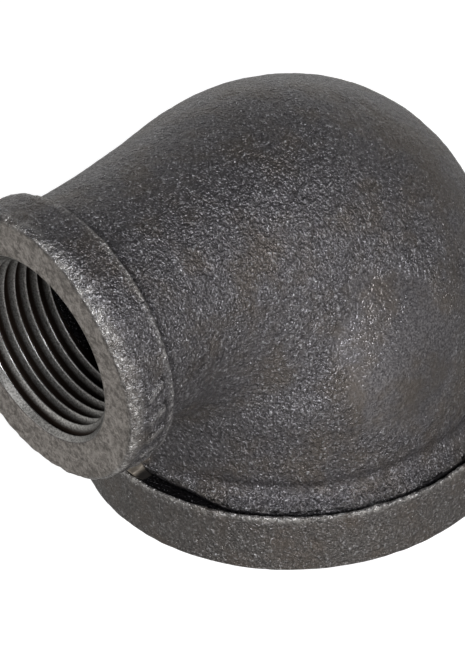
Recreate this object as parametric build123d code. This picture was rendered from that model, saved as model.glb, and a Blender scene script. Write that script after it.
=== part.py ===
from build123d import *
import math
import os

# A black malleable-iron reducing elbow, 1-1/2 by 3/4 inch, with a female taper pipe thread at each end.
# It is one casting. Its regions are built one by one, each a solid that meets its neighbours face to face.
# Frame: +Z is up, the origin is the centre of the large mouth, which rests on z = 0. The large port's
# axis is Z, and the small port's axis runs along -Y. The casting is symmetric about x = 0.

INCH = 25.4

# Port places, from the centre to end dimensions of a standard reducing elbow
SMALL_AXIS_Z = 1.52 * INCH
SMALL_MOUTH_Y = -1.75 * INCH

# Large end, 1-1/2 inch. Both bands are a little larger than the standard's least diameters.
LARGE_BAND_R = 31.2
LARGE_BAND_WIDTH = 0.368 * INCH
LARGE_BODY_R = 28.4
LARGE_BORE_R = 1.937 * INCH / 2
LARGE_PITCH = INCH / 11.5
LARGE_PITCH_DIAMETER = 1.82234 * INCH
LARGE_THREAD_LENGTH = 0.70 * INCH

# Small end, 3/4 inch
SMALL_BAND_R = 18.9
SMALL_BAND_WIDTH = 0.273 * INCH
SMALL_BODY_R = 16.75
SMALL_BORE_R = 1.079 * INCH / 2
SMALL_PITCH = INCH / 14
SMALL_PITCH_DIAMETER = 0.98887 * INCH
SMALL_THREAD_LENGTH = 0.50 * INCH

# Thread form: depth and flats as shares of the pitch, and the taper in radius along the axis
THREAD_DEPTH = 0.8
THREAD_FLAT = 0.038
RADIUS_TAPER = 1 / 32
COUNTERSINK_PITCHES = 1

# The bend: sections in planes that turn about a line through the inner corner's centre
CORNER_R = 3.3
PIVOT_Y = -LARGE_BODY_R - CORNER_R
PIVOT_Z = SMALL_AXIS_Z - SMALL_BODY_R - CORNER_R
PIVOT = Vector(0, PIVOT_Y, PIVOT_Z)
# Crown distance from the pivot and half width, at even steps of the turn from the large end
CROWN = [LARGE_BODY_R - PIVOT_Y, 59.4, 51.3, 40.5, SMALL_AXIS_Z + SMALL_BODY_R - PIVOT_Z]
HALF_WIDTH = [LARGE_BODY_R, 27.5, 21.4, 17.6, SMALL_BODY_R]
WALL = [LARGE_BODY_R - LARGE_BORE_R, SMALL_BODY_R - SMALL_BORE_R]
SECTIONS = 9
SECTION_POINTS = 24

# Rounding and casting detail
BAND_ROUND = 0.8
FLARE_OUT = 1.6
FLARE_UP = 4.2
NECK_FLARE = 0.8
WEB_HALF_WIDTH = 1.0
WEB_TOP_Z = 10.8
WEB_END_Y = -32.0
WEB_FOOT_Z = 7.6
MARK_HEIGHT = 0.45
MARK_SINK = 0.15
MARK_WIDTH = 1.1
MARK_LENGTH = 3.2
MARK_STEP = 11
MARK_FIRST = -5
MARK_COUNT = 6
MARK_LEAN = 24


def along_bend(stations, share):
    """Smooth value at a share of the turn, through evenly spaced stations, level at both ends."""
    last = len(stations) - 1
    slopes = [(stations[i + 1] - stations[i - 1]) / 2 for i in range(1, last)]
    slopes = [0, *slopes, 0]
    i = min(int(share * last), last - 1)
    f = share * last - i
    start = (2 * f**3 - 3 * f**2 + 1) * stations[i] + (f**3 - 2 * f**2 + f) * slopes[i]
    end = (3 * f**2 - 2 * f**3) * stations[i + 1] + (f**3 - f**2) * slopes[i + 1]
    return start + end


def bend_section(share, inset):
    """An oval section of the bend, drawn in by inset, as a face in a plane through the pivot."""
    turn = math.radians(90 * share)
    outward = Vector(0, math.cos(turn), math.sin(turn))
    crown = along_bend(CROWN, share)
    middle = PIVOT + outward * (crown + CORNER_R) / 2
    across = Vector(along_bend(HALF_WIDTH, share) - inset, 0, 0)
    high = outward * ((crown - CORNER_R) / 2 - inset)
    angles = [2 * math.pi * k / SECTION_POINTS for k in range(SECTION_POINTS)]
    points = [middle + across * math.cos(a) + high * math.sin(a) for a in angles]
    return make_face(Wire([Spline(*points, periodic=True)]))


def bend_shape(wall_start, wall_end):
    """The bend's solid, drawn in by a wall that changes evenly from its large end to its small end."""
    sections = []
    for k in range(SECTIONS):
        share = k / (SECTIONS - 1)
        sections.append(bend_section(share, wall_start + (wall_end - wall_start) * share))
    start, end = PIVOT + (0, LARGE_BODY_R, 0), PIVOT + (0, 0, LARGE_BODY_R)
    halfway = PIVOT + Vector(0, 1, 1).normalized() * LARGE_BODY_R
    path = ThreePointArc(start, halfway, end)
    return sweep(sections, path=path, multisection=True)


def elbow_bend():
    """The hollow bend, from the large socket's top to the small socket's back."""
    return bend_shape(0, 0) - bend_shape(*WALL)


def turned(points):
    """A ring turned about Z from an outline of radius and height."""
    return revolve(make_face(Plane.XZ * Polyline(*points, close=True)), Axis.Z)


def at_small_port(shape):
    """A shape drawn up from z = 0 at a mouth, moved to the small port with its mouth at SMALL_MOUTH_Y."""
    return Pos(0, SMALL_MOUTH_Y, SMALL_AXIS_Z) * Rot(-90, 0, 0) * shape


def flared_socket(inner, outer, length, flare_foot, flare_out, flare_up):
    """A socket wall with a concave flare that meets the back of its band."""
    lower = [(inner, 0), (outer, 0), (outer, flare_foot), (outer + flare_out, flare_foot)]
    profile = Polyline(*lower)
    tip = outer + flare_out, flare_foot
    flare = Spline(tip, (outer, flare_foot + flare_up), tangents=[(-1, 0.6), (0, 1)])
    rest = Polyline((outer, flare_foot + flare_up), (outer, length), (inner, length), (inner, 0))
    return revolve(Plane.XZ * make_face(profile + flare + rest), Axis.Z)


def large_socket():
    """The straight wall round the large thread, with the flare above the band."""
    flare = LARGE_BAND_WIDTH, FLARE_OUT, FLARE_UP
    return flared_socket(LARGE_BORE_R, LARGE_BODY_R, PIVOT_Z, *flare)


def small_socket():
    """The straight wall round the small thread, with a slight flare behind the band."""
    length = PIVOT_Y - SMALL_MOUTH_Y
    flare = SMALL_BAND_WIDTH, NECK_FLARE, NECK_FLARE
    return at_small_port(flared_socket(SMALL_BORE_R, SMALL_BODY_R, length, *flare))


def band(inner, outer, width):
    """A reinforcing band round a port's mouth, with rounded outer edges."""
    ring = turned([(inner, 0), (outer, 0), (outer, width), (inner, width)])
    rims = ring.edges().filter_by(GeomType.CIRCLE).sort_by(SortBy.RADIUS)[-2:]
    return fillet(rims, BAND_ROUND)


def thread_ring(outer, length, pitch, pitch_diameter):
    """A tapped wall drawn as rings at the thread's mean crest radius, with a countersink at the mouth."""
    depth = THREAD_DEPTH * pitch
    crest = pitch_diameter / 2 - depth / 2 - RADIUS_TAPER * length / 2
    half_flat = THREAD_FLAT * pitch / 2
    sink = COUNTERSINK_PITCHES * pitch
    points = [(outer, length), (outer, 0), (crest + sink, 0), (crest, sink)]
    turns = int((length - sink) / pitch)
    for k in range(turns):
        root_z = sink + (k + 0.5) * pitch
        points.append((crest, root_z - pitch / 2 + half_flat))
        points.append((crest + depth, root_z - half_flat))
        points.append((crest + depth, root_z + half_flat))
        points.append((crest, root_z + pitch / 2 - half_flat))
    points.append((crest, length))
    print(f"thread crest radius {crest:.3f} mm, from {sink:.3f} to {length:.3f} mm inside the mouth")
    return turned(points)


def large_thread():
    return thread_ring(LARGE_BORE_R, LARGE_THREAD_LENGTH, LARGE_PITCH, LARGE_PITCH_DIAMETER)


def small_thread():
    ring = thread_ring(SMALL_BORE_R, SMALL_THREAD_LENGTH, SMALL_PITCH, SMALL_PITCH_DIAMETER)
    return at_small_port(ring)


def crotch_web(neighbours):
    """The short ground rib on the middle plane, in the corner between the two ports."""
    outline = [
        (-LARGE_BORE_R, WEB_FOOT_Z),
        (-LARGE_BORE_R, WEB_TOP_Z),
        (WEB_END_Y, WEB_TOP_Z),
        (-LARGE_BAND_R, WEB_FOOT_Z),
    ]
    face = make_face(Plane.YZ * Polyline(*outline, close=True))
    rib = extrude(face, WEB_HALF_WIDTH, both=True)
    for solid in neighbours:
        rib = rib - solid
    return rib.solids().sort_by(Axis.Y)[0]


def cast_marks(small_band_solid):
    """A short row of plain raised bars on the side of the small band, all leaning one way."""
    outside = SMALL_BAND_R + (MARK_HEIGHT - MARK_SINK) / 2
    side = Plane((outside, 0, SMALL_BAND_WIDTH / 2), x_dir=(0, 1, 0), z_dir=(1, 0, 0))
    bars = []
    for k in range(MARK_COUNT):
        bar = Box(MARK_WIDTH, MARK_LENGTH, MARK_HEIGHT + MARK_SINK)
        turned_bar = Rot(0, 0, MARK_FIRST + MARK_STEP * k) * (side * Rot(0, 0, MARK_LEAN) * bar)
        bars.append(at_small_port(turned_bar) - small_band_solid)
    return bars


def build():
    parts = {
        "elbow_bend": elbow_bend(),
        "large_socket": large_socket(),
        "small_socket": small_socket(),
        "large_band": band(LARGE_BODY_R, LARGE_BAND_R, LARGE_BAND_WIDTH),
        "small_band": at_small_port(band(SMALL_BODY_R, SMALL_BAND_R, SMALL_BAND_WIDTH)),
        "large_thread": large_thread(),
        "small_thread": small_thread(),
    }
    touching = [parts["large_socket"], parts["large_band"], parts["elbow_bend"]]
    parts["crotch_web"] = crotch_web(touching)
    parts["cast_marks"] = Compound(children=cast_marks(parts["small_band"]))
    return parts


os.makedirs("parts", exist_ok=True)
for name, shape in build().items():
    export_step(shape, f"parts/{name}.step")
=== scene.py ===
"""Looks of a black malleable-iron reducing elbow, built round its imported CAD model.

Shapes are worked out in millimetres in the row frame and become metres when a mesh is made. The large
port's axis is Z with its mouth on z = 0, and the small port's axis runs along -Y.
"""

import bmesh
import bpy
import math
import numpy as np
from mathutils import Matrix, Vector


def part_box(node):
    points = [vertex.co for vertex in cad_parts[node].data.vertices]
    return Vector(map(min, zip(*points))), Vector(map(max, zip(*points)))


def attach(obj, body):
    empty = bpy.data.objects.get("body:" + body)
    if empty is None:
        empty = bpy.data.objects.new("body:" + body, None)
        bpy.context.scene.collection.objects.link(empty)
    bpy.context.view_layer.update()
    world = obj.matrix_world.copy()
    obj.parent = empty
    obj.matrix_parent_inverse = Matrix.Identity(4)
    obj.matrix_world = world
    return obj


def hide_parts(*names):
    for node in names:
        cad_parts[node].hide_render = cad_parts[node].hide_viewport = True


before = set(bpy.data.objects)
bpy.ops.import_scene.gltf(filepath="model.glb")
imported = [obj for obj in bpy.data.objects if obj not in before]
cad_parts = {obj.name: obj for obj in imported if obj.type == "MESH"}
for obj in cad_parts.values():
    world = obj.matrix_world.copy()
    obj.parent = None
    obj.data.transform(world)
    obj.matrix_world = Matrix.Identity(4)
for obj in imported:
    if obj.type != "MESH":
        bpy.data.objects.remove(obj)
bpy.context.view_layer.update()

MM = 0.001
TAU = 2 * math.pi


def box_mm(node):
    """A CAD node's lowest and highest corners in millimetres."""
    low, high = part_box(node)
    return np.array(low) / MM, np.array(high) / MM


# Sizes read from the frame
_low, _high = box_mm("large_band")
LARGE_BAND_R, LARGE_BAND_TOP = _high[0], _high[2]
_low, _high = box_mm("small_band")
SMALL_BAND_R, SMALL_BAND_WIDTH = _high[0], _high[1] - _low[1]
SMALL_MOUTH_Y, SMALL_AXIS_Z = _low[1], (_low[2] + _high[2]) / 2
_low, _high = box_mm("elbow_bend")
PIVOT_Y, PIVOT_Z, LARGE_BODY_R = _low[1], _low[2], _high[0]
CORNER_R = -LARGE_BODY_R - PIVOT_Y
SMALL_BODY_R = SMALL_AXIS_Z - PIVOT_Z - CORNER_R
_low, _high = box_mm("large_thread")
LARGE_BORE_R, LARGE_THREAD_LENGTH = _high[0], _high[2]
_low, _high = box_mm("small_thread")
SMALL_BORE_R, SMALL_THREAD_LENGTH = _high[0], _high[1] - _low[1]
_low, _high = box_mm("crotch_web")
WEB_HALF_WIDTH, WEB_TOP_Z, WEB_END_Y, WEB_FOOT_Z = _high[0], _high[2], _low[1], _low[2]

# The bend's crown distance from the pivot and its half width, at even steps of the turn, as in the CAD
CROWN = [LARGE_BODY_R - PIVOT_Y, 59.4, 51.3, 40.5, SMALL_AXIS_Z + SMALL_BODY_R - PIVOT_Z]
HALF_WIDTH = [LARGE_BODY_R, 27.5, 21.4, 17.6, SMALL_BODY_R]

# Taper pipe threads: pitch, crest radius and countersink radius at the mouth, then the form's depth and
# flats as shares of the pitch
LARGE_PITCH, LARGE_CREST_R, LARGE_SINK_R = 2.2087, 22.26, 24.5
SMALL_PITCH, SMALL_CREST_R, SMALL_SINK_R = 1.8143, 11.83, 13.4
THREAD_DEPTH, THREAD_FLAT, RADIUS_TAPER = 0.8, 0.05, 1 / 32

# The camera, turned about the row's origin
VIEW_AZIMUTH, VIEW_ELEVATION, VIEW_ROLL = 49.2, 37.9, -3.3
VIEW_ASIDE, VIEW_UP, VIEW_DISTANCE = -9.25, 14.2, 434.7
LENS_MM = 170.5
CLIP_START, CLIP_END = 0.01, 20

# The studio: light level by the height of the direction it comes from, then soft lights with their azimuth
# and elevation in degrees, distance and size in metres, power and colour. Light comes up through the floor.
FITTING_MIDDLE = (0, -0.005, 0.028)
STUDIO_LEVEL = 1.0
STUDIO_RAMP = [(-1.0, 0.30), (-0.5, 0.28), (0.0, 0.44), (0.2, 0.44), (0.4, 0.04), (1.0, 0.015)]
LIGHTS = [
    ("key_light", 60, 36, 0.80, 0.22, 4.70, (0.94, 0.96, 1.0)),
    ("front_light", 0, 30, 0.80, 0.30, 0.50, (1.0, 1.0, 1.0)),
    ("left_light", 318, 14, 0.80, 0.75, 0.80, (1.0, 0.99, 0.97)),
    ("back_light", 225, 10, 0.80, 0.80, 0.70, (1.0, 1.0, 1.0)),
    ("rear_light", 135, 8, 0.80, 0.70, 0.40, (1.0, 1.0, 1.0)),
    ("table_light", 70, -22, 0.80, 0.90, 1.70, (1.0, 0.98, 0.95)),
]


# ---------------------------------------------------------------- shapes

LUMP_DIRECTIONS, LUMP_PRIMES, LUMP_GAIN = 4096, (73856093, 19349663, 83492791), 1.8


def along_bend(stations, share):
    """Smooth value at each share of the turn, through evenly spaced stations, level at both ends."""
    values = np.array(stations, float)
    slopes = np.zeros(len(values))
    slopes[1:-1] = (values[2:] - values[:-2]) / 2
    at = np.asarray(share) * (len(values) - 1)
    i = np.minimum(at.astype(int), len(values) - 2)
    f = at - i
    start = (2 * f**3 - 3 * f**2 + 1) * values[i] + (f**3 - 2 * f**2 + f) * slopes[i]
    return start + (3 * f**2 - 2 * f**3) * values[i + 1] + (f**3 - f**2) * slopes[i + 1]


def smooth(low, high, value):
    """0 below low, 1 above high, and a smooth step between."""
    t = np.clip((value - low) / (high - low), 0, 1)
    return t * t * (3 - 2 * t)


def lumps(points, size, seed):
    """Smooth gradient noise, about -1 to 1, with lumps of the given size in millimetres."""
    table = np.random.RandomState(seed).normal(size=(LUMP_DIRECTIONS, 3))
    table /= np.linalg.norm(table, axis=1)[:, None]
    place = points / size
    cell = np.floor(place).astype(np.int64)
    f = place - cell
    ease = f * f * f * (f * (f * 6 - 15) + 10)
    total = np.zeros(len(points))
    for offset in np.ndindex(2, 2, 2):
        at = cell + offset
        key = np.bitwise_xor.reduce(at * LUMP_PRIMES, axis=1) & (LUMP_DIRECTIONS - 1)
        weight = np.prod(np.where(offset, ease, 1 - ease), axis=1)
        total += weight * np.einsum("ij,ij->i", table[key], f - offset)
    return total * LUMP_GAIN


def relief(points, *layers):
    """A height in millimetres from layers of lumps, each a height, a size and a seed."""
    return sum(height * lumps(points, size, seed) for height, size, seed in layers)


def bump_at(*offsets):
    """A soft bump, 1 where every offset is 0, from offsets already divided by the bump's reach."""
    return np.exp(-sum(offset**2 for offset in offsets))


def closed_grid(name, rows):
    """A closed mesh from rings of points in millimetres. The last ring joins the first."""
    count, across = rows.shape[:2]
    here = np.arange(count * across).reshape(count, across)
    ahead = np.roll(here, -1, axis=0)
    quads = np.stack([here, np.roll(here, -1, 1), np.roll(ahead, -1, 1), ahead], -1).reshape(-1, 4)
    mesh = bpy.data.meshes.new(name)
    mesh.from_pydata((rows.reshape(-1, 3) * MM).tolist(), [], quads.tolist())
    face_outward(mesh)
    return show(name, mesh)


def face_outward(mesh):
    """Turn every face of a closed mesh to face out."""
    work = bmesh.new()
    work.from_mesh(mesh)
    if work.calc_volume(signed=True) < 0:
        bmesh.ops.reverse_faces(work, faces=work.faces)
    work.to_mesh(mesh)
    work.free()


def show(name, mesh):
    """Put a smooth-shaded mesh in the scene."""
    mesh.shade_smooth()
    piece = bpy.data.objects.new(name, mesh)
    bpy.context.scene.collection.objects.link(piece)
    return piece


def read(mesh, what):
    """The vertices' places in millimetres, or their normals."""
    out = np.zeros(len(mesh.vertices) * 3)
    mesh.vertices.foreach_get(what, out)
    return out.reshape(-1, 3) / (MM if what == "co" else 1)


def raise_surface(piece, height):
    """Move each vertex out along its normal by a height in millimetres."""
    mesh = piece.data
    moved = read(mesh, "co") + read(mesh, "normal") * height[:, None]
    mesh.vertices.foreach_set("co", (moved * MM).ravel())
    mesh.update()


def paint(piece, name, values):
    """Store a value from 0 to 1 at each vertex, for the materials to read."""
    layer = piece.data.attributes.new(name, "FLOAT", "POINT")
    layer.data.foreach_set("value", np.clip(values, 0, 1).astype(np.float32))


def finish_piece(piece, material, slot, *nodes):
    """Give a piece its material and its body, and hide the CAD nodes that it stands for."""
    piece.data.materials.append(material)
    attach(piece, "root")
    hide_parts(*nodes)


def line(start, end, step):
    """Points along a straight stretch of an outline, without its last point."""
    count = max(1, int(np.ceil(np.linalg.norm(np.subtract(end, start)) / step)))
    return [tuple(np.add(start, np.subtract(end, start) * k / count)) for k in range(count)]


def corner(centre, radius, start, end, count):
    """Points round a rounded corner of an outline, in degrees, without its last point."""
    angles = [math.radians(start + (end - start) * k / count) for k in range(count)]
    return [(centre[0] + radius * math.cos(a), centre[1] + radius * math.sin(a)) for a in angles]


def at_port(radius, angle, depth, small):
    """Points at a radius and angle about a port's axis, at a depth inside its mouth."""
    across, down = radius * np.cos(angle), radius * np.sin(angle)
    if small:
        return np.stack([across, SMALL_MOUTH_Y + depth, SMALL_AXIS_Z - down], -1)
    return np.stack([across, down, depth], -1)


def turned_piece(name, outline, columns, small):
    """A ring turned about a port's axis from a closed outline of radius and depth."""
    outline = np.array(outline)
    radius, depth = outline[:, :1], outline[:, 1:]
    angle = np.arange(columns)[None, :] * TAU / columns
    ones = np.ones((1, columns))
    return closed_grid(name, at_port(radius * ones, angle * np.ones_like(radius), depth * ones, small))


# ---------------------------------------------------------------- the casting's body

BODY_COLUMNS, ROLL_ROWS, FLARE_ROWS, BARREL_ROWS = 416, 5, 12, 22
BEND_ROWS, NECK_ROWS, CAVITY_ROWS = 150, 14, 35
BODY_FOOT_Z, FOOT_R = 7.7, LARGE_BODY_R - 0.5
BODY_TIP_Y = SMALL_MOUTH_Y + SMALL_BAND_WIDTH - 0.8
NECK_FLARE_OUT, NECK_FLARE_UP = 0.15, 0.6
# The foot's flare is small and high in the corner between the ports, and wide and low elsewhere. A pair
# holds its value in the corner and its value elsewhere, or the turns in radians from one to the other.
CREST_R, CREST_Z = (29.3, 30.05), (LARGE_BAND_TOP + 1.2, LARGE_BAND_TOP + 0.1)
CREST_TURN, FLARE_TOP_TURN = (0.26, 0.56), (0.85, 1.45)
FLARE_TOP_Z = (LARGE_BAND_TOP + 2.2, LARGE_BAND_TOP + 2.9)
CREST_ROLL, ROLL_IN, ROLL_START, ROLL_STEP = 1.3, 0.55, -75, 18
VALLEY_DEPTH, VALLEY_UP = 0.36, 1.7
# How far behind the small band its crease of painted shade ends
CREASE_END = (1.4, 2.1)
# The grain fades along a level way over the body, from the first distance to the second
GRAIN_FADE, GRAIN_FADE_WAY = (4, 26), (0.6, 0.8)
# Marks on the body: the smooth patch along Y and Z, the U-shaped dent, the rust over the web, the blemishes
PATCH_MIDDLE, PATCH_HALF = (-5.5, 30.0), (9.0, 12.5)
DENT_MIDDLE, DENT_R, DENT_HALF_WIDTH, DENT_DEPTH = (16.7, -31.9, 38.3), 1.3, 0.28, 0.22
RUST_MIDDLE, RUST_REACH = (0, -LARGE_BODY_R, 11.6), (1.3, 1.5, 1.4)
BLEMISHES = [((22.2, -0.1, 41.2), 1.1), ((24.5, 7.0, 36.4), 1.3), ((20.3, 3.2, 43.5), 0.7)]
PIT_DEPTH = 0.18


def between(pair, share):
    """A value between a pair's first and second."""
    return pair[0] + (pair[1] - pair[0]) * share


def foot_rows(columns):
    """Rings from the groove's floor, round the rolled crest, up the flare and the barrel to the bend."""
    around = np.abs(np.arange(columns) * TAU / columns - math.pi)
    turned = smooth(*CREST_TURN, around)
    crest_r, crest_z = between(CREST_R, turned), between(CREST_Z, turned)
    flare_top = between(FLARE_TOP_Z, smooth(*FLARE_TOP_TURN, around))
    whole = np.ones(columns)
    stops = [(FOOT_R * whole, BODY_FOOT_Z * whole), (FOOT_R * whole, crest_z - CREST_ROLL)]
    for k in range(1, ROLL_ROWS + 1):
        turn = math.radians(ROLL_START + ROLL_STEP * k)
        roll_r, roll_z = ROLL_IN * (1 - math.cos(turn)), CREST_ROLL * 0.9 * math.sin(turn)
        stops.append((crest_r - roll_r, crest_z + roll_z))
    for k in range(FLARE_ROWS):
        s = k / FLARE_ROWS
        concave, wave = (1 - s) ** 1.7, 1 - s * s * (3 - 2 * s)
        out = 0.5 * concave + 0.5 * wave
        stops.append((LARGE_BODY_R + (crest_r - LARGE_BODY_R) * out, crest_z + (flare_top - crest_z) * s))
    for k in range(BARREL_ROWS):
        z = flare_top + (PIVOT_Z - flare_top) * k / BARREL_ROWS
        dip = bump_at((z - flare_top - 0.45 * VALLEY_UP) / (0.5 * VALLEY_UP))
        stops.append((LARGE_BODY_R - VALLEY_DEPTH * dip * turned, z))
    angle = np.arange(columns) * TAU / columns
    return [np.stack([r * np.sin(angle), r * np.cos(angle), z], -1) for r, z in stops]


def body_ring(share, inset, columns):
    """A ring of the bend at a share of its turn, drawn in by inset."""
    angle = np.arange(columns) * TAU / columns
    turn = share * math.pi / 2
    crown = along_bend(CROWN, share)
    out = (crown + CORNER_R) / 2 + ((crown - CORNER_R) / 2 - inset) * np.cos(angle)
    across = (along_bend(HALF_WIDTH, share) - inset) * np.sin(angle)
    return np.stack([across, PIVOT_Y + out * math.cos(turn), PIVOT_Z + out * math.sin(turn)], -1)


def round_ring(radius, columns, y=None, z=None):
    """A ring about the large port's axis at z, or about the small port's axis at y."""
    angle = np.arange(columns) * TAU / columns
    across, high = radius * np.sin(angle), radius * np.cos(angle)
    if y is None:
        return np.stack([across, high, np.full(columns, z)], -1)
    return np.stack([across, np.full(columns, y), SMALL_AXIS_Z + high], -1)


def body_rows():
    """Rings up the outside from the large end to the small end, and back down the cavity."""
    columns = BODY_COLUMNS
    rows = foot_rows(columns)
    for share in np.linspace(0, 1, BEND_ROWS):
        rows.append(body_ring(share, 0, columns))
    for y in np.linspace(PIVOT_Y, BODY_TIP_Y, NECK_ROWS)[1:]:
        rise = 1 - smooth(0, NECK_FLARE_UP, y - SMALL_MOUTH_Y - SMALL_BAND_WIDTH)
        rows.append(round_ring(SMALL_BODY_R + NECK_FLARE_OUT * rise, columns, y=y))
    rows.append(round_ring(SMALL_BORE_R, columns, y=BODY_TIP_Y))
    for share in np.linspace(1, 0, CAVITY_ROWS - 1):
        wall = LARGE_BODY_R - LARGE_BORE_R
        wall += (SMALL_BODY_R - SMALL_BORE_R - wall) * share
        rows.append(body_ring(share, wall, columns))
    rows.append(round_ring(LARGE_BORE_R, columns, z=BODY_FOOT_Z))
    return np.array(rows)


def patch_mask(points):
    """1 inside the smoother oval patch on the body's side, 0 outside."""
    apart = np.hypot(
        (points[:, 1] - PATCH_MIDDLE[0]) / PATCH_HALF[0],
        (points[:, 2] - PATCH_MIDDLE[1]) / PATCH_HALF[1],
    )
    apart += 0.12 * lumps(points, 3.5, 31)
    return (1 - smooth(0.8, 1.1, apart)) * (points[:, 0] > 0)


def dent_trough(points):
    """1 along the U-shaped dent's trough, 0 away from it."""
    from_dent = (points - DENT_MIDDLE) / DENT_R
    reach = np.linalg.norm(from_dent, axis=1)
    return bump_at((reach - 1) / DENT_HALF_WIDTH) * (from_dent[:, 2] < 0.6)


def pitting(points):
    """Near 1 in the middle of each blemish, uneven round it, and 0 away from them."""
    pits = np.zeros(len(points))
    for middle, size in BLEMISHES:
        near = np.linalg.norm(points - middle, axis=1) / size
        pits = np.maximum(pits, bump_at(near) * (0.6 + 0.4 * lumps(points, 0.9, 8)))
    return pits


def body():
    """The casting between the bands, outside and cavity, with its relief and painted values."""
    piece = closed_grid("body_skin", body_rows())
    points = read(piece.data, "co")
    rough = 1 - 0.75 * patch_mask(points)
    trough, pits = dent_trough(points), pitting(points)
    height = relief(points, (0.13, 15, 1), (0.05, 4.5, 2))
    height += rough * relief(points, (0.045, 1.5, 3), (0.03, 0.8, 4))
    height -= DENT_DEPTH * trough
    height -= PIT_DEPTH * pits
    radius, z = np.hypot(points[:, 0], points[:, 1]), points[:, 2]
    around = np.abs(np.arctan2(points[:, 0], -points[:, 1]))
    turned = smooth(*CREST_TURN, around)
    crest_r, crest_z = between(CREST_R, turned), between(CREST_Z, turned)
    crest = bump_at((radius - crest_r) / 0.5, (z - crest_z - 0.15) / 0.5) * (radius > FOOT_R)
    height += crest * relief(points, (0.12, 1.6, 5), (0.08, 0.9, 6))
    raise_surface(piece, height)
    outside = radius > LARGE_BORE_R + 1.5
    under = (1 - smooth(crest_z - 0.8, crest_z + 0.25, z)) * outside
    valley = bump_at((z - between(FLARE_TOP_Z, turned) - 0.5) / 0.7) * turned * 0.3
    from_band = points[:, 1] - SMALL_MOUTH_Y - SMALL_BAND_WIDTH
    crease = (1 - smooth(*CREASE_END, from_band)) * (z > PIVOT_Z)
    cavity = np.arange(len(points)) >= len(points) - CAVITY_ROWS * BODY_COLUMNS
    rust = bump_at(*((points - RUST_MIDDLE) / RUST_REACH).T)
    faded = 0.5 * smooth(*GRAIN_FADE, points[:, :2] @ GRAIN_FADE_WAY)
    below_top = 1 - smooth(crest_z + 1.5, crest_z + 2.8, z)
    flare = turned * smooth(0.3, 0.9, radius - LARGE_BODY_R) * below_top
    paint(piece, "grain", rough * (1 - faded))
    # A painted highlight lightens the rolled crest, kept off its painted shade.
    paint(piece, "bright", 0.15 * crest * (1 - under))
    paint(piece, "warm", rust)
    # Painted shade darkens the groove under the crest, the valley above the flare, the crease behind the
    # small band, the dent's trough, the pits, the cavity and the flare.
    shaded_parts = [under, valley, crease * 0.7, trough * 0.5, pits * 0.6, cavity * 0.85, flare * 0.3]
    paint(piece, "painted_shade", np.maximum.reduce(shaded_parts))
    return piece


# ---------------------------------------------------------------- the bands

SMALL_COLUMNS, LARGE_COLUMNS = 512, 720
HIDDEN_STEP = 2
SMALL_ROUND, SMALL_BACK_ROUND, SMALL_HIDDEN_DEPTH = 0.95, 0.35, 3
# The small rim is worn down most at one angle below level, and less to each side
WORN_MIDDLE, WORN_HALF, WORN_BY = math.radians(-35), math.radians(38), 1.25
LARGE_ROUND, LARGE_HIDDEN_DEPTH = 0.45, 4
LIP_ROUND, LIP_WIDTH, GROOVE_DEPTH, GROOVE_IN = 0.25, 0.2, 1.1, 0.45
# The row of bars: degrees below level for the first bar and between bars, then sizes
MARK_FIRST, MARK_STEP, MARK_COUNT = -5, 11, 6
MARK_HALF_WIDTH, MARK_HALF_LENGTH, MARK_LEAN, MARK_EDGE, MARK_HEIGHT = 0.45, 1.1, 0.45, 0.45, 0.45


def small_band_outline():
    """Closed outline of radius and depth: countersink edge, face, rim, side, back and hidden inside."""
    rim, back, step = SMALL_BAND_R - SMALL_ROUND, SMALL_BAND_WIDTH - SMALL_BACK_ROUND, 0.22
    inner, hidden = SMALL_SINK_R - 0.15, SMALL_BODY_R - 0.6
    points = line((inner, 0.25), (SMALL_SINK_R + 0.1, 0), 0.1)
    points += line((SMALL_SINK_R + 0.1, 0), (rim, 0), step)
    points += corner((rim, SMALL_ROUND), SMALL_ROUND, -90, 0, 9)
    points += line((SMALL_BAND_R, SMALL_ROUND), (SMALL_BAND_R, back), step)
    points += corner((SMALL_BAND_R - SMALL_BACK_ROUND, back), SMALL_BACK_ROUND, 0, 90, 6)
    points += line((SMALL_BAND_R - SMALL_BACK_ROUND, SMALL_BAND_WIDTH), (hidden, SMALL_BAND_WIDTH), 0.3)
    points += line((hidden, SMALL_BAND_WIDTH), (hidden, SMALL_HIDDEN_DEPTH), HIDDEN_STEP)
    points += line((hidden, SMALL_HIDDEN_DEPTH), (inner, SMALL_HIDDEN_DEPTH), HIDDEN_STEP)
    points += line((inner, SMALL_HIDDEN_DEPTH), (inner, 0.25), HIDDEN_STEP)
    return points


def raised_bars(around, depth):
    """1 on the row of plain leaning bars on the small band's side, 0 between them, and a mask of painted
    shadow at their feet.
    """
    bars, feet = np.zeros(len(around)), np.zeros(len(around))
    for k in range(MARK_COUNT):
        middle = math.radians(MARK_FIRST + MARK_STEP * k)
        along = depth - SMALL_BAND_WIDTH * 0.55
        aside = (around - middle) * SMALL_BAND_R + along * MARK_LEAN
        beside = np.maximum(np.abs(aside) - MARK_HALF_WIDTH, 0)
        beyond = np.maximum(np.abs(along) - MARK_HALF_LENGTH, 0)
        apart = np.hypot(beside, beyond)
        bars = np.maximum(bars, 1 - smooth(0, MARK_EDGE, apart))
        feet = np.maximum(feet, bump_at((apart - 0.42) / 0.25))
    return bars, feet


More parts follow.
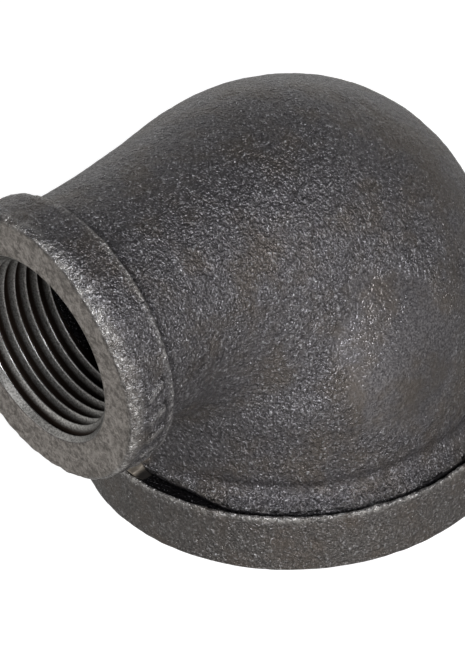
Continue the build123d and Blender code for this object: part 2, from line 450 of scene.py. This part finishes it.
def small_band():
    """The small band, with its faced mouth, worn rim and raised bars."""
    piece = turned_piece("small_band_skin", small_band_outline(), SMALL_COLUMNS, True)
    points = read(piece.data, "co")
    depth = points[:, 1] - SMALL_MOUTH_Y
    down, across = SMALL_AXIS_Z - points[:, 2], points[:, 0]
    radius, around = np.hypot(across, down), np.arctan2(down, across)
    worn = WORN_BY * bump_at((around - WORN_MIDDLE) / WORN_HALF) * (1 - smooth(0.2, 2.6, depth))
    shrink = 1 - worn * smooth(SMALL_SINK_R, SMALL_BAND_R - SMALL_ROUND, radius) / radius
    points[:, 0] *= shrink
    points[:, 2] = SMALL_AXIS_Z - down * shrink
    piece.data.vertices.foreach_set("co", (points * MM).ravel())
    piece.data.update()
    face = 1 - smooth(0.0, 0.25, depth)
    rim = np.exp(-(((radius - SMALL_BAND_R + 0.6) ** 2 + (depth - 0.5) ** 2) / 0.9))
    side = smooth(SMALL_BAND_R - 0.9, SMALL_BAND_R - 0.2, radius)
    height = relief(points, (0.10, 9, 11)) * (1 - face)
    height += (0.035 + 0.05 * side) * lumps(points, 1.7, 12)
    height += (0.02 + 0.03 * side) * lumps(points, 0.8, 13)
    height += rim * relief(points, (0.09, 2.4, 14), (0.05, 1.0, 15))
    bars, feet = (mask * side for mask in raised_bars(around, depth))
    height += MARK_HEIGHT * bars * (0.85 + 0.35 * lumps(points, 1.3, 16))
    height *= smooth(SMALL_SINK_R - 0.1, SMALL_SINK_R + 0.8, radius)
    raise_surface(piece, height)
    paint(piece, "grain", 0.45 + 0.55 * side)
    paint(piece, "face", face * smooth(SMALL_SINK_R - 0.4, SMALL_SINK_R, radius))
    # Wear and painted highlight lighten the rim and the back edge, and a painted highlight lightens the
    # bars' tops.
    back = np.exp(-(((radius - SMALL_BAND_R + 0.2) ** 2 + (depth - SMALL_BAND_WIDTH + 0.35) ** 2) / 0.25))
    rim_wear_and_highlight, back_wear_and_highlight = 0.8 + 0.9 * lumps(points, 1.4, 17), 1 + lumps(points, 1.2, 18)
    paint(piece, "bright", rim * rim_wear_and_highlight + 0.5 * back * back_wear_and_highlight + 0.35 * bars)
    # Painted shade darkens the crease at the band's back edge and the bars' feet.
    back_edge = smooth(SMALL_BAND_WIDTH - 0.3, SMALL_BAND_WIDTH, depth)
    paint(piece, "painted_shade", np.maximum(back_edge * 0.8, feet * (0.6 + 0.5 * lumps(points, 1.5, 19))))
    return piece


def large_band_outline():
    """Closed outline of radius and height: foot, side, raised lip, groove, and the hidden inside."""
    rim, top, step = LARGE_BAND_R - LARGE_ROUND, LARGE_BAND_TOP - LIP_ROUND, 0.25
    inner, hidden = LARGE_SINK_R - 0.15, LARGE_BODY_R - 1.2
    lip_in = LARGE_BAND_R - LIP_ROUND - LIP_WIDTH
    points = line((inner, 0.25), (LARGE_SINK_R + 0.1, 0), 0.1)
    points += line((LARGE_SINK_R + 0.1, 0), (rim, 0), 0.35)
    points += corner((rim, LARGE_ROUND), LARGE_ROUND, -90, 0, 6)
    points += line((LARGE_BAND_R, LARGE_ROUND), (LARGE_BAND_R, top), step)
    points += corner((LARGE_BAND_R - LIP_ROUND, top), LIP_ROUND, 0, 90, 3)
    points += line((LARGE_BAND_R - LIP_ROUND, LARGE_BAND_TOP), (lip_in, LARGE_BAND_TOP), 0.12)
    groove_r, groove_z = lip_in - GROOVE_IN, LARGE_BAND_TOP - GROOVE_DEPTH
    points += line((lip_in, LARGE_BAND_TOP), (groove_r, groove_z), 0.2)
    points += line((groove_r, groove_z), (hidden, groove_z - 0.2), 0.3)
    points += line((hidden, groove_z - 0.2), (hidden, LARGE_HIDDEN_DEPTH), HIDDEN_STEP)
    points += line((hidden, LARGE_HIDDEN_DEPTH), (inner, LARGE_HIDDEN_DEPTH), HIDDEN_STEP)
    points += line((inner, LARGE_HIDDEN_DEPTH), (inner, 0.25), HIDDEN_STEP)
    return points


def large_band():
    """The large band, with its raised lip and the groove inside it."""
    piece = turned_piece("large_band_skin", large_band_outline(), LARGE_COLUMNS, False)
    points = read(piece.data, "co")
    radius, z = np.hypot(points[:, 0], points[:, 1]), points[:, 2]
    side = smooth(LARGE_BAND_R - 0.9, LARGE_BAND_R - 0.1, radius)
    lip = np.exp(-(((radius - LARGE_BAND_R + 0.2) ** 2 + (z - LARGE_BAND_TOP) ** 2) / 0.40))
    foot = 1 - smooth(0.0, 0.3, z)
    groove = smooth(0.25, 0.9, LARGE_BAND_TOP - z) * (radius < LARGE_BAND_R - 0.45) * (z > 5)
    height = relief(points, (0.10, 10, 21)) * (1 - foot) + side * relief(points, (0.05, 2.2, 22))
    height += relief(points, (0.03, 0.9, 23)) * (1 - 0.6 * foot)
    height += lip * relief(points, (0.12, 3.0, 24), (0.11, 1.1, 25))
    height = np.where(foot > 0.5, np.minimum(height, 0), height)
    raise_surface(piece, height)
    paint(piece, "grain", 0.8 * np.ones(len(points)))
    paint(piece, "face", foot * (radius > LARGE_SINK_R - 0.3))
    # Wear and painted highlight lighten the lip, and painted shade darkens the groove inside it.
    paint(piece, "bright", lip * (0.8 + 0.9 * lumps(points, 1.2, 26)))
    paint(piece, "painted_shade", groove)
    return piece


# ---------------------------------------------------------------- the threads

THREAD_ROWS = 26
SMALL_THREAD_COLUMNS, LARGE_THREAD_COLUMNS = 256, 360
THREAD_START, THREAD_BACKING, WELD_DISTANCE = 0.18, 0.35, 1e-8
SINK_SLOPE, SINK_ROOT = 0.9, 0.15


def thread_radius(angle, depth, pitch, crest, sink):
    """The tapped wall's radius and how far it is down a root, with the countersink cut through it."""
    phase = (depth / pitch - angle / TAU) % 1
    from_crest = np.abs(phase - np.round(phase)) * 2
    drop = np.clip((from_crest - THREAD_FLAT) / (1 - 2 * THREAD_FLAT), 0, 1)
    radius = crest - depth * RADIUS_TAPER + drop * THREAD_DEPTH * pitch
    cone = sink - depth * SINK_SLOPE
    return np.maximum(radius, cone), np.where(radius > cone, drop, SINK_ROOT)


def thread_piece(name, pitch, crest, sink, length, bore, columns, small):
    """A tapped wall whose grid follows the helix, closed at the back inside the socket's wall."""
    count = int(np.ceil(length / pitch + 1)) * THREAD_ROWS
    row = np.arange(-THREAD_ROWS, count + 1)[:, None]
    turn = np.arange(columns)[None, :] / columns
    depth = np.clip((row / THREAD_ROWS + turn) * pitch, THREAD_START, length)
    angle = turn * TAU * np.ones_like(depth)
    radius, drop = thread_radius(angle, depth, pitch, crest, sink)
    points = at_port(radius, angle, depth, small).reshape(-1, 3)
    here = np.arange(depth.size).reshape(depth.shape)
    quads = []
    for k in range(len(row) - 1):
        beside, above = np.roll(here[k], -1), np.roll(here[k + 1], -1)
        if k + THREAD_ROWS + 1 >= len(row):
            beside, above = here[k][1:], here[k + 1][1:]
            first, second = here[k][:-1], here[k + 1][:-1]
        else:
            beside[-1], above[-1] = here[k + THREAD_ROWS][0], here[k + THREAD_ROWS + 1][0]
            first, second = here[k], here[k + 1]
        quads.append(np.stack([first, beside, above, second], -1))
    mesh = bpy.data.meshes.new(name)
    mesh.from_pydata((points * MM).tolist(), [], np.concatenate(quads).tolist())
    layer = mesh.attributes.new("root", "FLOAT", "POINT")
    layer.data.foreach_set("value", drop.ravel().astype(np.float32))
    close_thread(mesh, bore + THREAD_BACKING, small)
    face_outward(mesh)
    return show(name, mesh)


def close_thread(mesh, outer, small):
    """Weld the clipped ends, and close the wall with a plain back at the outer radius."""
    work = bmesh.new()
    work.from_mesh(mesh)
    bmesh.ops.remove_doubles(work, verts=work.verts, dist=WELD_DISTANCE)
    bmesh.ops.dissolve_degenerate(work, edges=work.edges, dist=WELD_DISTANCE)
    loose = [e for e in work.edges if not e.link_faces]
    bmesh.ops.delete(work, geom=loose, context="EDGES")
    ends = [e for e in work.edges if e.is_boundary]
    grown = bmesh.ops.extrude_edge_only(work, edges=ends)["geom"]
    middle = Vector((0, 0, SMALL_AXIS_Z * MM)) if small else Vector((0, 0, 0))
    axis = Vector((0, 1, 0)) if small else Vector((0, 0, 1))
    for vertex in (g for g in grown if isinstance(g, bmesh.types.BMVert)):
        along = (vertex.co - middle).dot(axis) * axis
        away = (vertex.co - middle - along).normalized()
        vertex.co = middle + along + away * outer * MM
    rims = [g for g in grown if isinstance(g, bmesh.types.BMEdge) and g.is_boundary]
    bmesh.ops.bridge_loops(work, edges=rims)
    bmesh.ops.recalc_face_normals(work, faces=work.faces)
    work.to_mesh(mesh)
    work.free()


def small_thread():
    form = SMALL_PITCH, SMALL_CREST_R, SMALL_SINK_R, SMALL_THREAD_LENGTH, SMALL_BORE_R
    return thread_piece("small_thread_cut", *form, SMALL_THREAD_COLUMNS, True)


def large_thread():
    form = LARGE_PITCH, LARGE_CREST_R, LARGE_SINK_R, LARGE_THREAD_LENGTH, LARGE_BORE_R
    return thread_piece("large_thread_cut", *form, LARGE_THREAD_COLUMNS, False)


# ---------------------------------------------------------------- the web

WEB_BEVEL, WEB_BEVEL_STEPS, WEB_CUTS = 0.3, 3, 5


def crotch_web():
    """The short ground rib in the corner between the ports, bevelled and slightly uneven."""
    half, inner_y, low = WEB_HALF_WIDTH, -LARGE_BODY_R + 1.2, WEB_FOOT_Z + 0.2
    outline = [
        (inner_y, low),
        (inner_y, WEB_TOP_Z + 0.2),
        (WEB_END_Y + 0.7, WEB_TOP_Z - 0.6),
        (1.2 - LARGE_BAND_R, LARGE_BAND_TOP - 0.9),
        (2.0 - LARGE_BAND_R, low),
    ]
    work = bmesh.new()
    near = [work.verts.new((-half * MM, y * MM, z * MM)) for y, z in outline]
    side = work.faces.new(near)
    grown = bmesh.ops.extrude_face_region(work, geom=[side])["geom"]
    for vertex in (g for g in grown if isinstance(g, bmesh.types.BMVert)):
        vertex.co.x = half * MM
    bmesh.ops.recalc_face_normals(work, faces=work.faces)
    rounding = {"offset": WEB_BEVEL * MM, "segments": WEB_BEVEL_STEPS, "profile": 0.5}
    bmesh.ops.bevel(work, geom=work.edges, affect="EDGES", **rounding)
    bmesh.ops.triangulate(work, faces=work.faces)
    bmesh.ops.subdivide_edges(work, edges=work.edges, cuts=WEB_CUTS, use_grid_fill=True)
    mesh = bpy.data.meshes.new("web_skin")
    work.to_mesh(mesh)
    work.free()
    piece = show("web_skin", mesh)
    points = read(mesh, "co")
    raise_surface(piece, relief(points, (0.07, 1.3, 41), (0.04, 0.6, 42)))
    # Painted shade darkens the rib's lower side.
    low_side = smooth(half - 0.2, half, points[:, 0]) * (1 - smooth(9.4, 10.3, points[:, 2]))
    paint(piece, "painted_shade", 0.9 * low_side)
    return piece


# ---------------------------------------------------------------- materials

# Grain sizes of the cast skin in millimetres, and how deep the bump of each is
FINE_GRAIN, MIDDLE_GRAIN, COARSE_GRAIN = 0.27, 0.62, 1.9
FINE_BUMP, MIDDLE_BUMP, COARSE_BUMP = 0.26, 0.48, 0.30
# Among these colours, the worn edge is partly painted highlight, the grain tip is a painted glint, and the
# hollow and root colours are painted shade.
WEAR_AND_HIGHLIGHT, GLINT_COLOUR = (0.60, 0.58, 0.56), (0.60, 0.59, 0.61)
FACED_DARK, FACED_LIGHT = (0.115, 0.102, 0.090), (0.345, 0.315, 0.287)
RUSTY_CORNER, SHADE_COLOUR = (0.22, 0.165, 0.11), (0.022, 0.020, 0.022)
STEEL_DARK, STEEL_LIGHT, ROOT_SHADE = (0.18, 0.175, 0.17), (0.52, 0.51, 0.49), (0.022, 0.014, 0.010)
GROUND_DARK, GROUND_LIGHT, SHADED_SIDE = (0.20, 0.17, 0.14), (0.33, 0.29, 0.235), (0.02, 0.018, 0.018)
CAST_SKIN = (0.080, 0.075, 0.080), (0.180, 0.172, 0.178), (0.128, 0.110, 0.096)
BAND_SKIN = (0.080, 0.073, 0.071), (0.185, 0.173, 0.165), (0.138, 0.115, 0.099)


class Nodes:
    """A material's node tree, with short calls for the nodes used here."""

    def __init__(self, name):
        self.material = bpy.data.materials.new(name)
        self.material.use_nodes = True
        self.tree = self.material.node_tree
        self.shader = self.tree.nodes["Principled BSDF"]
        self.place = self.tree.nodes.new("ShaderNodeTexCoord").outputs["Object"]

    def link(self, source, target):
        self.tree.links.new(source, target)

    def noise(self, size, detail=2.0, roughness=0.5):
        """Noise with features of a size in millimetres, 0 to 1."""
        node = self.tree.nodes.new("ShaderNodeTexNoise")
        node.inputs["Scale"].default_value = 1 / (size * MM)
        node.inputs["Detail"].default_value = detail
        node.inputs["Roughness"].default_value = roughness
        self.link(self.place, node.inputs["Vector"])
        return node.outputs["Fac"]

    def step(self, value, low, high, out_low=0.0, out_high=1.0):
        """A value carried smoothly from one range to another."""
        node = self.tree.nodes.new("ShaderNodeMapRange")
        node.interpolation_type = "SMOOTHSTEP"
        numbers = {"From Min": low, "From Max": high, "To Min": out_low, "To Max": out_high}
        for socket, number in numbers.items():
            node.inputs[socket].default_value = number
        self.link(value, node.inputs["Value"])
        return node.outputs["Result"]

    def math(self, kind, first, second):
        node = self.tree.nodes.new("ShaderNodeMath")
        node.operation = kind
        for socket, value in zip(node.inputs, (first, second)):
            if isinstance(value, (int, float)):
                socket.default_value = value
            else:
                self.link(value, socket)
        return node.outputs["Value"]

    def mix(self, share, first, second):
        """Two colours mixed by a share, each a tuple or a socket."""
        node = self.tree.nodes.new("ShaderNodeMix")
        node.data_type = "RGBA"
        self.link(share, node.inputs["Factor"])
        for socket, value in ((node.inputs[6], first), (node.inputs[7], second)):
            if isinstance(value, tuple):
                socket.default_value = (*value, 1)
            else:
                self.link(value, socket)
        return node.outputs[2]

    def painted(self, name):
        """A value stored on the mesh."""
        node = self.tree.nodes.new("ShaderNodeAttribute")
        node.attribute_name = name
        return node.outputs["Fac"]

    def bump(self, height, distance, below=None):
        """A bump of a height socket, with a depth in millimetres, on top of another bump."""
        node = self.tree.nodes.new("ShaderNodeBump")
        node.inputs["Strength"].default_value = 1.0
        node.inputs["Distance"].default_value = distance * MM
        self.link(height, node.inputs["Height"])
        if below is not None:
            self.link(below, node.inputs["Normal"])
        return node.outputs["Normal"]


def cast_iron(name, dark, light, brown):
    """Sand-cast iron: a grainy skin that glints, with brown drifts, edges lightened by wear and painted
    highlight, painted glints on the grain's tips, and painted shade in the hollows and creases.
    """
    n = Nodes(name)
    grain = n.painted("grain")
    fine, middle = n.noise(FINE_GRAIN, 1.0, 0.5), n.noise(MIDDLE_GRAIN, 2.0, 0.6)
    coarse = n.noise(COARSE_GRAIN, 2.0, 0.5)
    colour = n.mix(n.step(fine, 0.34, 0.66), dark, light)
    colour = n.mix(n.step(n.noise(7.0, 3.0, 0.6), 0.42, 0.68, 0.0, 0.8), colour, brown)
    # Wear and painted highlight lighten the edges marked bright.
    worn = n.math("MULTIPLY", n.painted("bright"), n.step(n.noise(0.5, 2.0), 0.38, 0.6, 0.3, 1.0))
    colour = n.mix(worn, colour, WEAR_AND_HIGHLIGHT)
    # Painted glints: light specks on the grain's tips.
    painted_glints = n.math("MULTIPLY", n.step(n.math("ADD", fine, middle), 1.12, 1.32), grain)
    colour = n.mix(n.math("MULTIPLY", painted_glints, 0.6), colour, GLINT_COLOUR)
    faced = n.mix(n.step(n.noise(0.8, 4.0, 0.8), 0.36, 0.64), FACED_DARK, FACED_LIGHT)
    face = n.painted("face")
    colour = n.mix(face, colour, faced)
    colour = n.mix(n.math("MULTIPLY", n.painted("warm"), 0.75), colour, RUSTY_CORNER)
    # Painted shade darkens the grooves, creases, hollows and pits.
    colour = n.mix(n.painted("painted_shade"), colour, SHADE_COLOUR)
    n.link(colour, n.shader.inputs["Base Color"])
    rough = n.math("ADD", n.step(middle, 0.3, 0.7, 0.20, 0.33), n.step(face, 0.0, 1.0, 0.0, 0.25))
    n.link(rough, n.shader.inputs["Roughness"])
    n.link(n.step(face, 0.0, 1.0, 0.7, 0.3), n.shader.inputs["Metallic"])
    n.shader.inputs["Specular IOR Level"].default_value = 0.5
    bumpy = n.math("MULTIPLY", n.step(grain, 0.0, 1.0, 0.25, 1.0), n.step(face, 0.0, 1.0, 1.0, 0.7))
    below = n.bump(n.math("MULTIPLY", coarse, bumpy), COARSE_BUMP)
    below = n.bump(n.math("MULTIPLY", middle, bumpy), MIDDLE_BUMP, below)
    below = n.bump(n.math("MULTIPLY", fine, bumpy), FINE_BUMP, below)
    n.link(below, n.shader.inputs["Normal"])
    return n.material


def cut_thread(name):
    """Tapped iron: bright turned crests with fine tool lines, and roots darkened with painted shade."""
    n = Nodes(name)
    root = n.step(n.painted("root"), 0.12, 0.7)
    streak = n.noise(0.25, 3.0, 0.6)
    steel = n.mix(n.step(streak, 0.3, 0.7), STEEL_DARK, STEEL_LIGHT)
    # Painted shade darkens the thread's roots.
    colour = n.mix(root, steel, ROOT_SHADE)
    n.link(colour, n.shader.inputs["Base Color"])
    n.link(n.step(root, 0.0, 1.0, 0.31, 0.6), n.shader.inputs["Roughness"])
    n.shader.inputs["Metallic"].default_value = 0.9
    n.link(n.bump(streak, 0.03), n.shader.inputs["Normal"])
    return n.material


def ground_iron(name):
    """A spot ground smooth, with a faint rusty tint, and painted shade on its sides."""
    n = Nodes(name)
    patchy = n.noise(1.1, 3.0, 0.6)
    colour = n.mix(n.step(patchy, 0.3, 0.7), GROUND_DARK, GROUND_LIGHT)
    # Painted shade on the rib's sides.
    colour = n.mix(n.painted("painted_shade"), colour, SHADED_SIDE)
    n.link(colour, n.shader.inputs["Base Color"])
    n.shader.inputs["Roughness"].default_value = 0.5
    n.shader.inputs["Metallic"].default_value = 0.4
    n.link(n.bump(patchy, 0.08), n.shader.inputs["Normal"])
    return n.material


# ---------------------------------------------------------------- the stage

FLOOR_HALF, FLOOR_LEVEL, FLOOR_GLOW, FLOOR_COLOUR = 3.0, -0.1 * MM, 0.92, (0.35, 0.35, 0.35, 1)


def floor():
    """A plain pale floor just under the fitting, which glows evenly and lets light through from below."""
    mesh = bpy.data.meshes.new("floor")
    half, level = FLOOR_HALF, FLOOR_LEVEL
    corners = [(-half, -half, level), (half, -half, level), (half, half, level), (-half, half, level)]
    mesh.from_pydata(corners, [], [(0, 1, 2, 3)])
    piece = bpy.data.objects.new("floor", mesh)
    bpy.context.scene.collection.objects.link(piece)
    piece.visible_diffuse = piece.visible_glossy = piece.visible_shadow = False
    n = Nodes("pale_floor")
    n.shader.inputs["Base Color"].default_value = FLOOR_COLOUR
    n.shader.inputs["Roughness"].default_value = 1.0
    n.shader.inputs["Specular IOR Level"].default_value = 0.0
    n.shader.inputs["Emission Color"].default_value = (1, 1, 1, 1)
    n.shader.inputs["Emission Strength"].default_value = FLOOR_GLOW
    mesh.materials.append(n.material)


def area_light(name, azimuth, elevation, distance, size, power, colour):
    """A soft square light, in a direction about the row's axis in degrees, aimed at the fitting."""
    data = bpy.data.lights.new(name, "AREA")
    data.shape, data.size, data.energy, data.color = "SQUARE", size, power, colour
    lamp = bpy.data.objects.new(name, data)
    turn, tilt = math.radians(azimuth), math.radians(elevation)
    away = Vector((math.sin(turn) * math.cos(tilt), -math.cos(turn) * math.cos(tilt), math.sin(tilt)))
    lamp.location = Vector(FITTING_MIDDLE) + away * distance
    lamp.rotation_euler = away.to_track_quat("Z", "Y").to_euler()
    lamp.visible_camera = False
    bpy.context.scene.collection.objects.link(lamp)


def studio():
    """A studio that is brightest level with the fitting and darkest above it, and its soft lights."""
    scene = bpy.context.scene
    scene.view_settings.view_transform = "Standard"
    world = bpy.data.worlds.new("studio")
    scene.world = world
    world.use_nodes = True
    tree = world.node_tree
    place = tree.nodes.new("ShaderNodeTexCoord")
    split = tree.nodes.new("ShaderNodeSeparateXYZ")
    ramp = tree.nodes.new("ShaderNodeValToRGB")
    tree.links.new(place.outputs["Generated"], split.inputs["Vector"])
    rise = tree.nodes.new("ShaderNodeMapRange")
    rise.inputs["From Min"].default_value = -1.0
    tree.links.new(split.outputs["Z"], rise.inputs["Value"])
    tree.links.new(rise.outputs["Result"], ramp.inputs["Fac"])
    while len(ramp.color_ramp.elements) < len(STUDIO_RAMP):
        ramp.color_ramp.elements.new(0.5)
    for element, (height, level) in zip(ramp.color_ramp.elements, STUDIO_RAMP):
        element.position = (height + 1) / 2
        element.color = (level, level * 0.99, level * 0.97, 1)
    tree.links.new(ramp.outputs["Color"], tree.nodes["Background"].inputs["Color"])
    tree.nodes["Background"].inputs["Strength"].default_value = STUDIO_LEVEL
    for light in LIGHTS:
        area_light(*light)


def camera():
    """The camera, at an azimuth and elevation about the row's origin, rolled and moved aside."""
    turn, tilt, roll = (math.radians(a) for a in (VIEW_AZIMUTH, VIEW_ELEVATION, VIEW_ROLL))
    back = Vector((math.sin(turn) * math.cos(tilt), -math.cos(turn) * math.cos(tilt), math.sin(tilt)))
    level = Vector((math.cos(turn), math.sin(turn), 0))
    above = back.cross(level)
    right = level * math.cos(roll) + above * math.sin(roll)
    up = above * math.cos(roll) - level * math.sin(roll)
    data = bpy.data.cameras.new("camera")
    data.lens = LENS_MM
    data.clip_start, data.clip_end = CLIP_START, CLIP_END
    eye = bpy.data.objects.new("camera", data)
    eye.matrix_world = Matrix((right, up, back)).transposed().to_4x4()
    eye.location = (right * VIEW_ASIDE + up * VIEW_UP + back * VIEW_DISTANCE) * MM
    bpy.context.scene.collection.objects.link(eye)
    bpy.context.scene.camera = eye


# ---------------------------------------------------------------- the fitting

skin = cast_iron("cast_skin", *CAST_SKIN)
band_skin = cast_iron("band_skin", *BAND_SKIN)
thread_metal = cut_thread("cut_thread")

finish_piece(body(), skin, "cast_skin", "elbow_bend", "large_socket", "small_socket")
finish_piece(small_band(), skin, "cast_skin", "small_band", "cast_marks")
finish_piece(large_band(), band_skin, "band_skin", "large_band")
finish_piece(crotch_web(), ground_iron("ground_web"), "ground_web", "crotch_web")
finish_piece(small_thread(), thread_metal, "cut_thread", "small_thread")
finish_piece(large_thread(), thread_metal, "cut_thread", "large_thread")

floor()
studio()
camera()
